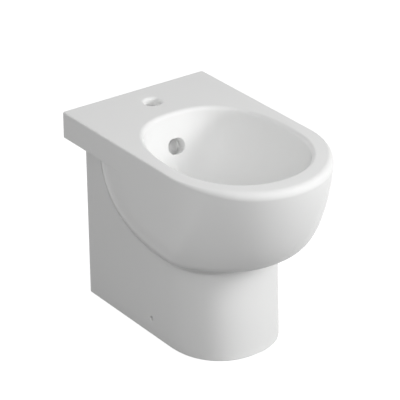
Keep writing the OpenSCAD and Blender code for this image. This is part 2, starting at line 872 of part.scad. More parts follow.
module side_bush() {
    from_wall()
        translate([side_in, -side_hole_y, side_hole_z])
            rotate([0, 90, 0])
                difference() {
                    union() {
                        translate([0, 0, -bush_lip - 0.1])
                            cylinder(r = side_hole_d / 2 + 3, h = bush_lip);
                        translate([0, 0, -bush_lip - 0.1])
                            cylinder(r = bush_r, h = bush_lip + bush_spigot);
                    }
                    translate([0, 0, -bush_lip - 1])
                        cylinder(r = bush_in, h = bush_lip + bush_spigot + 2);
                }
}

module side_bushes() {
    color("whitesmoke")
        union() {
            side_bush();
            mirror([1, 0, 0])
                side_bush();
        }
}

module side_screw() {
    from_wall()
        translate([side_in + bush_spigot - 0.1, -side_hole_y, side_hole_z])
            rotate([0, 90, 0])
                difference() {
                    union() {
                        translate([0, 0, -screw_len])
                            cylinder(d = screw_d, h = screw_len + 1);
                        cylinder(r1 = head_r, r2 = head_r - 1, h = head_t);
                    }
                    for (a = [0, 90])
                        rotate(a)
                            translate([-2.5, -0.5, head_t - 1])
                                cube([5, 1, 2]);
                }
}

module side_screws() {
    color("silver")
        union() {
            side_screw();
            mirror([1, 0, 0])
                side_screw();
        }
}

ceramic_body();
waste_body();
flange_gasket();
boss_seal();
waste_backnut();
plug_cap();
plug_seal();
plug_stem();
latch_cartridge();
latch_spring();
tail_nut();
tail_washer();
dip_tube();
trap_body();
head_nut();
head_washer();
trap_cup();
cup_ring();
outlet_nut();
outlet_washer();
outlet_pipe();
bracket_left();
bracket_right();
side_bushes();
side_screws();
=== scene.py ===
"""Floor standing bidet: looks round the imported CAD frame. Metres, floor at z = 0, front -Y."""
import math

import bmesh
import bpy
import numpy as np
from mathutils import Matrix, Vector
from mathutils.bvhtree import BVHTree
from mathutils.kdtree import KDTree


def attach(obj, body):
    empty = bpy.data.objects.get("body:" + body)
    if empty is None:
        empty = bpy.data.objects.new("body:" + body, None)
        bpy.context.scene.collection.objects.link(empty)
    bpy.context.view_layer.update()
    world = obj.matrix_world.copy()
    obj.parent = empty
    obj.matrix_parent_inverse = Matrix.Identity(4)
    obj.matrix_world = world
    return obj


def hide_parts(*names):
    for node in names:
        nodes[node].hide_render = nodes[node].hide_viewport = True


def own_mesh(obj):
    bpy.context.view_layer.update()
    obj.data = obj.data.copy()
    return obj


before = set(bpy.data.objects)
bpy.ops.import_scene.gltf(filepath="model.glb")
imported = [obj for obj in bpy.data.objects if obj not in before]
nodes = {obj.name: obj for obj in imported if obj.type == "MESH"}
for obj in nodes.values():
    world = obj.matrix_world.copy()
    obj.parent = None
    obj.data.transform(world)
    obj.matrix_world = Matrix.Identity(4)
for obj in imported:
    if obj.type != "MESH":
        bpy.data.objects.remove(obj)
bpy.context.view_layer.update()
MM = 0.001

# ---- sizes of the ceramic, in mm, as in the part's source -----------------------------------
BODY_W, BODY_D, BODY_H = 350.0, 550.0, 430.0
SLAB_T, NOSE_LEN = 55.0, 190.0
WALL_T, DECK_T = 10.0, 18.0
CORNER_R, EDGE_R, RIM_EDGE_R = 6.0, 3.0, 15.0
FOOT_W, FOOT_FLARE, FOOT_EDGE = 238.0, 3.8, 3.0
FOOT_STRAIGHT, FOOT_NOSE, FOOT_LEAN, FOOT_N = 287.0, 128.0, 15.0, 2.2
BULGE_Z, BULGE_FRONT_Z, BULGE_TOP_Z = 198.0, 215.0, 426.0
BULGE_RUN, BULGE_HOLD, BULGE_M = 228.0, 0.49, 2.42
BLEND_DEG, EDGE_BLEND_DEG = 38.0, 60.0
SIDE_P, SIDE_Q, FRONT_P, FRONT_Q = 1.15, 2.2, 3.04, 1.46
COVE_SIDE = (4.0, 6.0, 1.5)                  # height, reach and fullness of the cove
COVE_FRONT = (23.0, 38.0, 1.2)
COVE_NOSE = (30.0, 38.0, 2.0)
COVE_NOSE_DEG = 60.0
OPEN_W, OPEN_Y, OPEN_FRONT, OPEN_BACK = 284.0, 334.0, 164.0, 196.0
OPEN_N_FRONT, OPEN_N_BACK, OPEN_EDGE_R = 2.14, 2.41, 9.0
BOWL_DEPTH, BOWL_N, BOWL_M = 175.0, 1.6, 1.87
DRAIN_Y, DRAIN_R, SEAT_R, BOSS_R, BOSS_LEN = 300.0, 23.0, 35.0, 37.0, 38.0
TAP_Y, TAP_R, TAP_EDGE = 67.5, 17.5, 6.0
OVERFLOW_R, OVERFLOW_Z = 16.0, 361.0
SIDE_HOLE_R, SIDE_HOLE_Y, SIDE_HOLE_Z = 5.0, 226.0, 38.0
SERVICE_W, SERVICE_H = 184.0, 335.0
DUCT_TOP_DEG, DUCT_WIDE, DUCT_DEEP = 11.0, (19.0, 11.0), 7.0
DUCT_OFF, DUCT_SKIN = 9.0, 5.0
SWELL_FLAT, SWELL_FADE = 13.0, 18.0
SLAB_Z = BODY_H - SLAB_T
SEAT_Z = BODY_H - BOWL_DEPTH
CEILING_Z = BODY_H - max(DECK_T, RIM_EDGE_R + 1)
BOSS_Z = SEAT_Z - BOSS_LEN
OPEN_Z = BODY_H - OPEN_EDGE_R

# ---- what this skin of the ceramic has of its own, in mm ------------------------------------
OVERFLOW_EDGE, OVERFLOW_WIDE = 2.0, 8.0      # tighter than in the solid, and drawn out sideways
SIDE_HOLE_EDGE = 0.9
BEVEL, FINE_BEVEL = 1.5, 0.6                 # hidden corners and seat, and the drain's edges
BOSS_ROOT = BOSS_R + 2                       # where the hidden side of the bowl starts
BACK_SLANT, BACK_LEVEL = 0.4, 0.2            # of the slab's underside over the back
CREASE_SHADE_FULL, CREASE_SHADE_END = 18.0, 42.0             # painted shade along the crease: gloss taken away within the first, fading out by the second, mm out from the foot
RIM_LEDGE, LINING_LEDGE = 4.0, 5.0           # the bulge's rows end this far under rim, ceiling
CHANNEL_LAP = 5.0                            # the channel's end inside the drain hole

# ---- how the skin is divided ----------------------------------------------------------------
BACK_GAP, BACK_END = 0.01, 0.98              # shares of the back's half width
SIDE_START, SIDE_CROWD = 1.06, 1.6           # the side's places crowd just behind the bulge
FAR_BEHIND, PAST_BULGE = 9.0, 1.02           # run-out of back and corner, and of a side past it
INSET_FADE = 0.2                             # run-out over which an inset comes in
MEET_BEHIND = 0.4                            # share where the slab's rows start behind the bulge
MEET_LEAST, MEET_MOST = 0.05, 0.985          # least and most of it where the bulge meets the slab
EDGE_ROWS, PEDESTAL_ROWS, PEDESTAL_CROWD = 9, 14, 1.3
CREASE_ROWS, CREASE_SHARE = 19, 0.4          # part of the bulge with the close rows
BULGE_ROWS, BULGE_CROWD, SLAB_ROWS = 40, 2.2, 9
RIM_SHARES = (0.03, 0.12, 0.35, 0.65, 0.88, 0.97)
DECK_SHARES = (0.01, 0.03, 0.08, 0.2, 0.4, 0.6, 0.8, 0.92, 0.97, 0.99)
BOWL_ROWS, HIDDEN_ROWS, LINING_ROWS = 45, 17, 14
LINING_SHARES = (0.3, 0.7, 1.0)
CHANNEL_ROWS, CHANNEL_SIDES, MOUTH_ROWS = 24, 28, 11
SLOPE_STEP = 0.02                            # share of a curve over which its slope is taken
LEVEL_START, LEVEL_STEPS = 0.2, 4000         # shares of the bowl's back that are tried
ABOVE_SKIN = 30.0                            # a hole's rays to the glazed surface start here
OVERCUT = 0.01
GLAZE_GAP = 0.01                             # a corner this near an old one keeps its glaze
DOUBLE_GAP = 1e-5

# ---- trap, plug and spring, in mm, as in the part's source ----------------------------------
TAIL_Z, NECK_Z, OUTLET_Z, TRAP_LOW, CUP_Z = 172.0, 146.0, 106.0, 62.0, 20.0
PIPE_R, WASTE_R, NECK_R = 16.0, 20.95, 22.0
STUB_R, STUB_LEN, SOCKET_LEN = 20.0, 60.0, 18.0
SLIP_GAP, RUNNING_GAP, NUT_LIP, NUT_WALL, WASHER_T = 0.2, 0.05, 4.0, 3.5, 4.0
TAIL_RINGS, TAIL_THREAD, NECK_LEN = 6.0, 14.0, 10.0
NECK_FREE = 1.0                              # the head nut ends this far short of the neck's root
TRAP_R, CUP_IN, CUP_OUT, CUP_GRIP = 29.0, 25.5, 31.6, 14.0
CUP_FLOOR, CUP_ROUND, RING_T = 3.0, 7.0, 2.0
RIB_COUNT, RIB_R, RIB_OUT, RIB_END = 12, 1.5, 1.0, 1.0
SPRING_R, WIRE_R, PLUG_TRAVEL = 5.35, 0.55, 9.0

# ---- what the scene's nuts, cup and spring have of their own, in mm -------------------------
NUT_ROUND, NUT_RIM, NUT_BEVEL = 1.4, 0.8, 0.4
CUP_BASE, CUP_SLANT_W, CUP_SLANT_H = 8.0, 3.0, 2.0
CUP_DISH_W, CUP_DISH_Z = 4.0, 8.0
CUP_SOFT, CUP_SOFTER = 2.0, 3.0              # roundings
RIB_SEGMENTS, RIB_RINGS = 16, 10
SPRING_TURNS, WIRE_SIDES, TURN_STEPS = 7, 12, 36


def to_frame(points):
    """Wall frame in mm (y = 0 at the wall) to the part's frame in metres."""
    p = np.asarray(points, float).copy()
    p[..., 1] += BODY_D / 2
    return p * MM


# ---- the loft of the ceramic body -----------------------------------------------------------
def mix(a, b, t):
    return a + (b - a) * t


def power(x, e):
    return np.maximum(x, 0.0) ** e


def smooth(x):
    """Soft step from 0 to 1."""
    c = np.clip(x, 0.0, 1.0)
    return c * c * (3 - 2 * c)


def sine(deg):
    return math.sin(math.radians(deg))


def cosine(deg):
    """Cosine up to 90 degrees, where it is 0 to the last digit."""
    return math.cos(math.radians(deg)) if deg < 90 else 0.0


def sink(f):
    """Depth of the bowl as a share: 1 at its seat, where f is 0, and 0 at its rim."""
    return power(1 - f ** BOWL_N, 1 / BOWL_M)


BACK, CORNER, SIDE, FRONT = range(4)
QUARTER = np.radians(np.linspace(0, 90, EDGE_ROWS))


class Stations:
    """Places round the right half of the outline, from the middle of the back to the front.

    On the back and the side s is a share of the way, on the corner and the front an angle.
    """

    def __init__(self, back, pillar, corner, side, front):
        service = SERVICE_W / (FOOT_W - 2 * CORNER_R)
        shares = [*np.linspace(BACK_GAP, service - BACK_GAP, back),
                  *np.linspace(service, BACK_END, pillar)]
        behind = SIDE_START - SIDE_START * np.linspace(0, 1, side + 1)[:-1] ** SIDE_CROWD
        rows = [(BACK, s) for s in shares]
        rows += [(CORNER, a) for a in np.linspace(0, 90, corner)]
        rows += [(SIDE, (FOOT_STRAIGHT - BULGE_RUN * v - CORNER_R) / (FOOT_STRAIGHT - CORNER_R))
                 for v in behind]
        rows += [(FRONT, a) for a in np.linspace(0, 90, front)]
        self.zone = np.array([zone for zone, _ in rows])
        self.s = np.array([s for _, s in rows], float)
        self.front = self.zone == FRONT
        self.share = np.where(self.front, smooth(self.s / BLEND_DEG), 0.0)
        self.edge = np.where(self.front,
                             mix(EDGE_R, RIM_EDGE_R, smooth(self.s / EDGE_BLEND_DEG)), EDGE_R)
        in_service = (self.zone == BACK) & (self.s < service - BACK_GAP / 2)
        self.base = np.where(in_service, SERVICE_H, 0.0)
        rim = self.rim(0.0)
        self.bearing = np.arctan2(rim[:, 1] + OPEN_Y, rim[:, 0])

    def outline(self, half_w, straight, nose, n, inset):
        """Straight back and sides, round corners and a nose of power n, set in all round."""
        s = self.s
        r = np.maximum(1.0, CORNER_R - inset)
        x1, y1 = half_w - inset - r, -inset - r
        a = np.radians(s)
        c, q = np.maximum(np.cos(a), 0.0), np.maximum(np.sin(a), 0.0)
        c = np.where(s >= 90, 0.0, c)
        pick = [self.zone == BACK, self.zone == CORNER, self.zone == SIDE]
        x = np.select(pick, [x1 * s, x1 + r * np.sin(a), (half_w - inset) + 0 * s],
                      (half_w - inset) * c ** (2 / n))
        y = np.select(pick, [-inset + 0 * s, y1 + r * np.cos(a), mix(y1, -straight, s)],
                      -straight - (nose - inset) * q ** (2 / n))
        return np.stack([x, y], -1)

    def rim(self, inset):
        return self.outline(BODY_W / 2 + 0 * self.s, BODY_D - NOSE_LEN, NOSE_LEN, 2.0, inset)

    def foot(self, z, inset):
        """Outline of the pedestal at the heights z."""
        nose = FOOT_NOSE - FOOT_LEAN * np.minimum(z, BULGE_Z) / BULGE_Z
        half_w = FOOT_W / 2 + FOOT_FLARE * z / SLAB_Z
        return self.outline(half_w, FOOT_STRAIGHT, nose, FOOT_N, inset)

    def low(self, inset):
        """Heights at which the bulge's curve leaves the pedestal."""
        return inset + mix(BULGE_Z, BULGE_FRONT_Z, self.share)

    def high(self, inset):
        """Heights at which the bulge's curve reaches the rim's outline."""
        return inset + mix(mix(SLAB_Z, BULGE_Z, BULGE_HOLD), BULGE_TOP_Z, self.share)

    def p(self):
        return mix(SIDE_P, FRONT_P, self.share)

    def q(self):
        return mix(SIDE_Q, FRONT_Q, self.share)

    def runout(self, inset):
        """How far back a place on the side is: 0 where the front starts, 1 where the bulge ends."""
        v = (FOOT_STRAIGHT + self.foot(0.0, 0.0)[:, 1]) / BULGE_RUN
        v = v + inset / BULGE_RUN * smooth(v / INSET_FADE)
        return np.where(self.zone == SIDE, np.maximum(v, 0),
                        np.where(self.zone == FRONT, 0.0, FAR_BEHIND))

    def share_at(self, z, inset):
        """How far out the front of the bulge is at the heights z, as a share of its way."""
        t = (self.high(inset) - z) / (self.high(inset) - self.low(inset))
        g = power(1 - power(t, self.q()), 1 / self.p())
        return np.where(self.front, g, 1.0)

    def bulge_height(self, g, inset):
        """Heights of the bulge at the share g of its way out, before its cove."""
        t = power(1 - g ** self.p(), 1 / self.q())
        low, top, slab, v = self.low(inset), self.high(inset), SLAB_Z + inset, self.runout(inset)
        reach = power(mix(BULGE_HOLD, 1, t) ** BULGE_M - v ** BULGE_M, 1 / BULGE_M)
        return np.where(v > 0, slab - (slab - low) * reach, top - (top - low) * t)

    def wide(self, inset):
        """Way from the pedestal out to the rim, mm."""
        gap = np.linalg.norm(self.rim(inset) - self.foot(SLAB_Z, inset), axis=1)
        return np.where(self.zone == BACK, (BODY_W - FOOT_W) / 2 - FOOT_FLARE, gap)

    def cove(self, d):
        """Drop of the bulge's underside towards the foot, d mm out from it."""
        nose = smooth((self.s - COVE_NOSE_DEG) / (90 - COVE_NOSE_DEG)) * self.front
        drop, run, e = (mix(mix(side, front, self.share), tip, nose)
                        for side, front, tip in zip(COVE_SIDE, COVE_FRONT, COVE_NOSE))
        u = 1 - np.minimum(d / run, 1)
        return drop * (1 - power(1 - u ** e, 1 / e))

    def bulge(self, g, inset):
        """Row of the bulge at the share g of its way out."""
        slant = BACK_SLANT * (CEILING_Z - SLAB_Z - inset) * (1 - self.s) * (g - BACK_LEVEL)
        z = self.bulge_height(g, inset) + np.where(self.zone == BACK, slant, 0.0)
        if inset == 0:
            z = z - self.cove(self.wide(0) * g)
        full = self.share_at(BODY_H - self.edge, inset)
        xy = mix(self.foot(z, inset), self.rim(inset), (g / full)[:, None])
        return np.column_stack([xy, z])

    def slab_meet(self):
        """How far out the bulge runs into the underside of the slab, as a share of its way."""
        v = self.runout(0.0)
        t = np.clip((v - BULGE_HOLD) / (1 - BULGE_HOLD), 0, 1)
        g = power(1 - t ** self.q(), 1 / self.p())
        return np.where(v > PAST_BULGE, MEET_BEHIND, np.clip(g, MEET_LEAST, MEET_MOST))

    def dull(self, g):
        """Painted shade along the crease: gloss taken away, from 1 near the pedestal to 0 further
        out on the bulge.
        """
        return 1 - smooth((self.wide(0) * g - CREASE_SHADE_FULL) / (CREASE_SHADE_END - CREASE_SHADE_FULL))

    def at(self, xy, z):
        """Row with the heights z, or one height for all."""
        return np.column_stack([xy, np.broadcast_to(z, len(self.s))])

    def open_at(self, out):
        """Outline of the bowl's opening, set out by some mm."""
        c, s = np.abs(np.cos(self.bearing)), np.abs(np.sin(self.bearing))
        back = np.sin(self.bearing) > 0
        deep = np.where(back, OPEN_BACK, OPEN_FRONT) + out
        n = np.where(back, OPEN_N_BACK, OPEN_N_FRONT)
        r = ((c / (OPEN_W / 2 + out)) ** n + (s / deep) ** n) ** (-1 / n)
        return np.column_stack([r * np.cos(self.bearing), r * np.sin(self.bearing) - OPEN_Y])

    def drain_at(self, r):
        """Circle round the drain's axis."""
        return np.column_stack([r * np.cos(self.bearing), r * np.sin(self.bearing) - DRAIN_Y])

    def bowl(self, f):
        return self.at(mix(self.drain_at(SEAT_R), self.open_at(0), f), mix(OPEN_Z, SEAT_Z, sink(f)))

    def hidden(self, f):
        """Hidden side of the bowl with the swelling round the overflow channel."""
        far = np.linalg.norm(self.open_at(WALL_T) - self.drain_at(BOSS_ROOT), axis=1)

        def base(k):
            return np.column_stack([BOSS_ROOT + far * k,
                                    mix(CEILING_Z, SEAT_Z - WALL_T, sink(k)) + 0 * far])
        d = base(min(1, f + SLOPE_STEP)) - base(max(0, f - SLOPE_STEP))
        t = d / np.linalg.norm(d, axis=1)[:, None]
        x = np.abs(mix(BOSS_ROOT, OPEN_BACK, f) * np.cos(self.bearing))
        by = (DUCT_OFF + DUCT_DEEP + DUCT_SKIN) * (1 - smooth((x - SWELL_FLAT) / SWELL_FADE))
        by = np.where(np.sin(self.bearing) < 0, 0.0, by)
        xy = mix(self.drain_at(BOSS_ROOT), self.open_at(WALL_T), f)
        out = np.column_stack([np.cos(self.bearing), np.sin(self.bearing)])
        return np.column_stack([xy + out * (by * t[:, 1])[:, None],
                                np.minimum(base(f)[:, 1] - by * t[:, 0], CEILING_Z)])


def pedestal_rows(st):
    """Rounded foot, bare where it stands, and the pedestal up to the crease."""
    for a in QUARTER[:-1]:
        inset, lift = FOOT_EDGE * (1 - np.sin(a)), FOOT_EDGE * (1 - np.cos(a))
        yield st.at(st.foot(st.base, inset), st.base + lift), 0.0 if a == 0 else 1.0
    crease = st.bulge(np.zeros(len(st.s)), 0.0)[:, 2]
    for k in np.linspace(0, 1, PEDESTAL_ROWS)[:-1]:
        z = mix(st.base + FOOT_EDGE, crease, 1 - (1 - k) ** PEDESTAL_CROWD)
        yield st.at(st.foot(z, 0.0), z), 1.0


def bulge_rows(st):
    """From the crease out to where the bulge meets the slab, and on to the rim's edge."""
    edge_z = BODY_H - st.edge
    end, meet = st.share_at(edge_z - RIM_LEDGE, 0), st.slab_meet()
    steps = [meet * CREASE_SHARE * k ** 2 for k in np.linspace(0, 1, CREASE_ROWS)[:-1]]
    steps += [meet * (1 - (1 - CREASE_SHARE) * (1 - k) ** BULGE_CROWD)
              for k in np.linspace(0, 1, BULGE_ROWS)]
    steps += [mix(meet, 1, sine(90 * k)) for k in np.linspace(0, 1, SLAB_ROWS)[1:]]
    for g in steps:
        # values above 1 are the painted shade along the crease
        yield st.bulge(g * end, 0.0), 1.0 + st.dull(g * end)
    top = st.bulge(end, 0.0)[:, 2]
    for k in RIM_SHARES:
        z = mix(top, edge_z, k)
        share = st.share_at(z, 0) / st.share_at(edge_z, 0)
        yield st.at(mix(st.foot(z, 0.0), st.rim(0.0), share[:, None]), z), 1.0


def deck_rows(st):
    """The rim's rounded edge, the flat deck and the rounded edge of the opening."""
    for a in QUARTER:
        yield st.at(st.rim(st.edge * (1 - np.cos(a))), BODY_H - st.edge * (1 - np.sin(a))), 1.0
    outer, inner = st.rim(st.edge), st.open_at(OPEN_EDGE_R)
    for k in DECK_SHARES:
        yield st.at(mix(outer, inner, k), BODY_H), 1.0
    for a in QUARTER:
        out, drop = OPEN_EDGE_R * (1 - np.sin(a)), OPEN_EDGE_R * (1 - np.cos(a))
        yield st.at(st.open_at(out), BODY_H - drop), 1.0


def bowl_rows(st):
    """The bowl down to its flat seat and into the drain hole."""
    for k in np.linspace(0, 1, BOWL_ROWS)[1:]:
        yield st.bowl(cosine(90 * k)), 1.0
    for r, z in ((SEAT_R - BEVEL, SEAT_Z), (DRAIN_R + FINE_BEVEL, SEAT_Z),
                 (DRAIN_R, SEAT_Z - FINE_BEVEL)):
        yield st.at(st.drain_at(r), z), 1.0


def hidden_rows(st):
    """The drain's boss, the hidden side of the bowl and the lining of the body, all bare."""
    for r, z in ((DRAIN_R, BOSS_Z + FINE_BEVEL), (DRAIN_R + FINE_BEVEL, BOSS_Z),
                 (BOSS_R - BEVEL, BOSS_Z), (BOSS_R, BOSS_Z + BEVEL)):
        yield st.at(st.drain_at(r), z), 0.0
    for k in np.linspace(0, 1, HIDDEN_ROWS):
        yield st.hidden(sine(90 * k)), 0.0
    yield st.at(st.rim(WALL_T + BEVEL), CEILING_Z), 0.0
    yield st.at(st.rim(WALL_T), CEILING_Z - BEVEL), 0.0
    end = st.share_at(CEILING_Z - LINING_LEDGE, WALL_T)
    for k in np.linspace(1, 0, LINING_ROWS):
        yield st.bulge(end * sine(90 * k), WALL_T), 0.0
    low = st.bulge(0 * end, WALL_T)[:, 2]
    for k in LINING_SHARES:
        z = mix(low, st.base, k)
        yield st.at(st.foot(z, WALL_T), z), 0.0


def ceramic_rows(st):
    """Rows of the closed section, as (points, glaze and shade): outside up, bowl down, hidden side
    back.

    Glaze is 0 on bare clay and 1 where glazed, and rises to 2 along the crease, where its gloss is
    taken away as painted shade.
    """
    return [*pedestal_rows(st), *bulge_rows(st), *deck_rows(st), *bowl_rows(st), *hidden_rows(st)]


def closed_loft(rows):
    """Right half mirrored, rows joined into a closed skin; corners, quads and glaze with painted
    shade per corner.
    """
    half = np.array([points for points, _ in rows])          # rows, stations, 3
    glaze = np.array([np.broadcast_to(share, half.shape[1]) for _, share in rows])
    left = half[:, :-1][:, ::-1].copy()
    left[..., 0] *= -1
    grid = np.concatenate([half, left], axis=1)
    glaze = np.concatenate([glaze, glaze[:, :-1][:, ::-1]], axis=1)
    m, n = grid.shape[:2]
    i, j = np.meshgrid(np.arange(n), np.arange(m), indexing="ij")
    a, b = j * n + i, ((j + 1) % m) * n + i
    c, d = ((j + 1) % m) * n + (i + 1) % n, j * n + (i + 1) % n
    quads = np.stack([a, d, c, b], -1).reshape(-1, 4)[:, ::-1]
    return grid.reshape(-1, 3), quads, glaze.ravel()


def mesh_of(name, points, faces):
    """Mesh from corners and faces, which may be numpy's."""
    mesh = bpy.data.meshes.new(name)
    mesh.from_pydata([tuple(p) for p in points], [], [tuple(int(k) for k in f) for f in faces])
    mesh.validate()
    mesh.update()
    return mesh


def glazed_mesh(name, points, faces, glaze):
    """Mesh that knows how it is glazed and where the crease's painted shade lies, as ceramic_rows
    gives it.
    """
    mesh = mesh_of(name, points, faces)
    mesh.attributes.new("glaze", "FLOAT", "POINT").data.foreach_set("value", glaze)
    return mesh


def new_object(name, mesh):
    obj = bpy.data.objects.new(name, mesh)
    bpy.context.collection.objects.link(obj)
    return obj


def finished(obj, degrees=38):
    """Smooth faces, with edges sharper than some degrees left sharp."""
    mesh = obj.data
    mesh.polygons.foreach_set("use_smooth", [True] * len(mesh.polygons))
    mesh.set_sharp_from_angle(angle=math.radians(degrees))
    mesh.update()
    return obj


def tube_faces(rings, sides):
    """Faces between rings of corners, with a cap on the first ring and on the last."""
    faces = [[j * sides + k, j * sides + (k + 1) % sides, (j + 1) * sides + (k + 1) % sides,
              (j + 1) * sides + k] for j in range(rings - 1) for k in range(sides)]
    faces.append(list(range(sides))[::-1])
    faces.append([(rings - 1) * sides + k for k in range(sides)])
    return faces


def mouth_cutter(name, surface, centre, axis, r, edge, depth, above, sides=96, wide=0.0):
    """Cutter for a hole whose rounded mouth follows the glazed surface round it, mm.

    The hole is round, or drawn out to both sides by a total of wide.
    """
    axis = Vector(axis).normalized()
    u = Vector((1, 0, 0)) if wide else axis.orthogonal().normalized()
    v = axis.cross(u)
    centre = Vector(centre)

    def ring(radius, level):
        for k in range(sides):
            angle = 2 * math.pi * (k + 0.5) / sides
            along = radius * math.cos(angle) + math.copysign(wide / 2, math.cos(angle))
            side = centre + u * along + v * (radius * math.sin(angle))
            hit = surface.ray_cast(side + axis * ABOVE_SKIN, -axis)
            yield side + axis * level(ABOVE_SKIN - hit[3] if hit[0] is not None else 0.0)
    points = list(ring(r, lambda h: -depth))
    for deg in np.linspace(0, 90, MOUTH_ROWS):
        drop = edge * (1 - sine(deg)) - (OVERCUT if deg == 90 else 0)
        points += ring(r + edge * (1 - cosine(deg)), lambda h: h - drop)
    points += ring(r + edge, lambda h: above)
    return new_object(name, mesh_of(name, points, tube_faces(len(points) // sides, sides)))


def tube_cutter(name, line, wide, deep, sides):
    """Cutter with an oval section along points [y, z] in the plane x = 0, mm."""
    points = []
    for i, (y, z) in enumerate(line):
        ahead, behind = line[min(i + 1, len(line) - 1)], line[max(i - 1, 0)]
        t = np.array(ahead) - np.array(behind)
        t = t / np.linalg.norm(t)
        w = mix(wide[0], wide[1], i / (len(line) - 1))
        for k in range(sides):
            a = 2 * math.pi * (k + 0.5) / sides
            points.append((w * math.cos(a), y - t[1] * deep * math.sin(a),
                           z + t[0] * deep * math.sin(a)))
    return new_object(name, mesh_of(name, points, tube_faces(len(line), sides)))


def outward(obj):
    """Merges doubles and turns the faces outwards."""
    bm = bmesh.new()
    bm.from_mesh(obj.data)
    bmesh.ops.remove_doubles(bm, verts=bm.verts, dist=DOUBLE_GAP)
    bmesh.ops.recalc_face_normals(bm, faces=bm.faces)
    bm.to_mesh(obj.data)
    bm.free()
    return obj


def keep_result(obj):
    """Makes what the object's modifier gives its plain mesh, and removes the modifier."""
    deps = bpy.context.evaluated_depsgraph_get()
    mesh = bpy.data.meshes.new_from_object(obj.evaluated_get(deps))
    old = obj.data
    obj.modifiers.clear()
    obj.data = mesh
    bpy.data.meshes.remove(old)


def cut(obj, cutter):
    """Takes the cutter out of the object and deletes it."""
    mod = obj.modifiers.new("cut", "BOOLEAN")
    mod.operation, mod.solver, mod.object = "DIFFERENCE", "EXACT", cutter
    keep_result(obj)
    gone = cutter.data
    bpy.data.objects.remove(cutter)
    bpy.data.meshes.remove(gone)


def glaze_cuts(obj, points, glaze):
    """Skin that was there before the cuts keeps its glaze and painted shade, and the walls of the
    cuts are glazed.
    """
    known = KDTree(len(points))
    for k, p in enumerate(points):
        known.insert(p, k)
    known.balance()
    found = [known.find(v.co) for v in obj.data.vertices]
    values = [glaze[k] if gap < GLAZE_GAP else 1.0 for _, k, gap in found]
    obj.data.attributes["glaze"].data.foreach_set("value", values)


def into_frame(obj):
    """Moves a mesh from the wall frame in mm into the part's frame."""
    points = np.empty(len(obj.data.vertices) * 3)
    obj.data.vertices.foreach_get("co", points)
    obj.data.vertices.foreach_set("co", to_frame(points.reshape(-1, 3)).ravel())
    obj.data.update()
    return obj


def bowl_back(f):
    """Place [y, z] on the middle of the bowl's back wall, from the seat (0) to the rim (1)."""
    y = mix(SEAT_R - DRAIN_Y, OPEN_BACK - OPEN_Y, f)
    return np.array([y, mix(OPEN_Z, SEAT_Z, sink(f))])


def hidden_back(f):
    """Place [y, z] on the middle of the back's hidden side, as it is without the swelling."""
    start = BOSS_ROOT - DRAIN_Y
    far = OPEN_BACK + WALL_T - OPEN_Y - start
    return np.array([start + far * f, mix(CEILING_Z, SEAT_Z - WALL_T, sink(f))])


def overflow_cutter(surface):
    """Cutter for the overflow hole, square to the bowl's back wall."""
    levels = np.linspace(LEVEL_START, 1, LEVEL_STEPS)
    f = levels[np.argmin([abs(bowl_back(k)[1] - OVERFLOW_Z) for k in levels])]
    place, run = bowl_back(f), bowl_back(f + SLOPE_STEP) - bowl_back(f - SLOPE_STEP)
    slope = math.atan2(run[0], run[1])
    return mouth_cutter("overflow_cut", surface, (0, place[0], place[1]),
                        (0, -math.cos(slope), math.sin(slope)), OVERFLOW_R, OVERFLOW_EDGE,
                        depth=WALL_T + DUCT_OFF, above=8, wide=OVERFLOW_WIDE)


def channel_cutter():
    """Cutter for the overflow channel, from behind the overflow hole down to the drain hole."""
    line = []
    for deg in np.linspace(DUCT_TOP_DEG, 90, CHANNEL_ROWS):
        f = cosine(deg)
        d = hidden_back(min(1, f + SLOPE_STEP)) - hidden_back(max(0, f - SLOPE_STEP))
        t = d / np.linalg.norm(d)
        line.append(tuple(hidden_back(f) + DUCT_OFF * np.array([t[1], -t[0]])))
    line.append((DRAIN_R - CHANNEL_LAP - DRAIN_Y, line[-1][1]))
    return tube_cutter("channel_cut", line, DUCT_WIDE, DUCT_DEEP, CHANNEL_SIDES)


def build_ceramic():
    """The glazed body in one skin, with tap hole, overflow, side holes and overflow channel."""
    rows = ceramic_rows(Stations(back=22, pillar=6, corner=7, side=62, front=84))
    points, quads, glaze = closed_loft(rows)
    obj = new_object("ceramic_glazed", glazed_mesh("ceramic_glazed", points, quads, glaze))
    surface = BVHTree.FromPolygons([tuple(p) for p in points],
                                   [tuple(int(k) for k in q) for q in quads])
    cutters = [mouth_cutter("tap_cut", surface, (0, -TAP_Y, BODY_H), (0, 0, 1), TAP_R, TAP_EDGE,
                            depth=BODY_H - CEILING_Z + 1, above=2),
               overflow_cutter(surface)]
    side_x = FOOT_W / 2 + FOOT_FLARE * SIDE_HOLE_Z / SLAB_Z
    for sign in (1, -1):
        place = (sign * side_x, -SIDE_HOLE_Y, SIDE_HOLE_Z)
        cutters.append(mouth_cutter("side_cut", surface, place, (sign, 0, 0), SIDE_HOLE_R,
                                    SIDE_HOLE_EDGE, depth=WALL_T + 3, above=3, sides=48))
    for cutter in [*cutters, channel_cutter()]:
        cut(obj, outward(cutter))
    glaze_cuts(obj, points, glaze)
    return finished(into_frame(obj))


# ---- nuts and cup of the trap ---------------------------------------------------------------
def rounded(corners, steps=5):
    """Closed outline [r, z] with each corner rounded by its own radius."""
    line = []
    for i, (r, z, fillet) in enumerate(corners):
        here = Vector((r, z))
        back = Vector(corners[i - 1][:2]) - here
        ahead = Vector(corners[(i + 1) % len(corners)][:2]) - here
        half = back.angle(ahead) / 2
        reach = min(fillet / math.tan(half), 0.45 * back.length, 0.45 * ahead.length)
        if fillet == 0:
            line.append(tuple(here))
            continue
        a, b = here + back.normalized() * reach, here + ahead.normalized() * reach
        for k in range(steps + 1):
            t = k / steps
            line.append(tuple(a * (1 - t) ** 2 + here * 2 * t * (1 - t) + b * t ** 2))
    return line


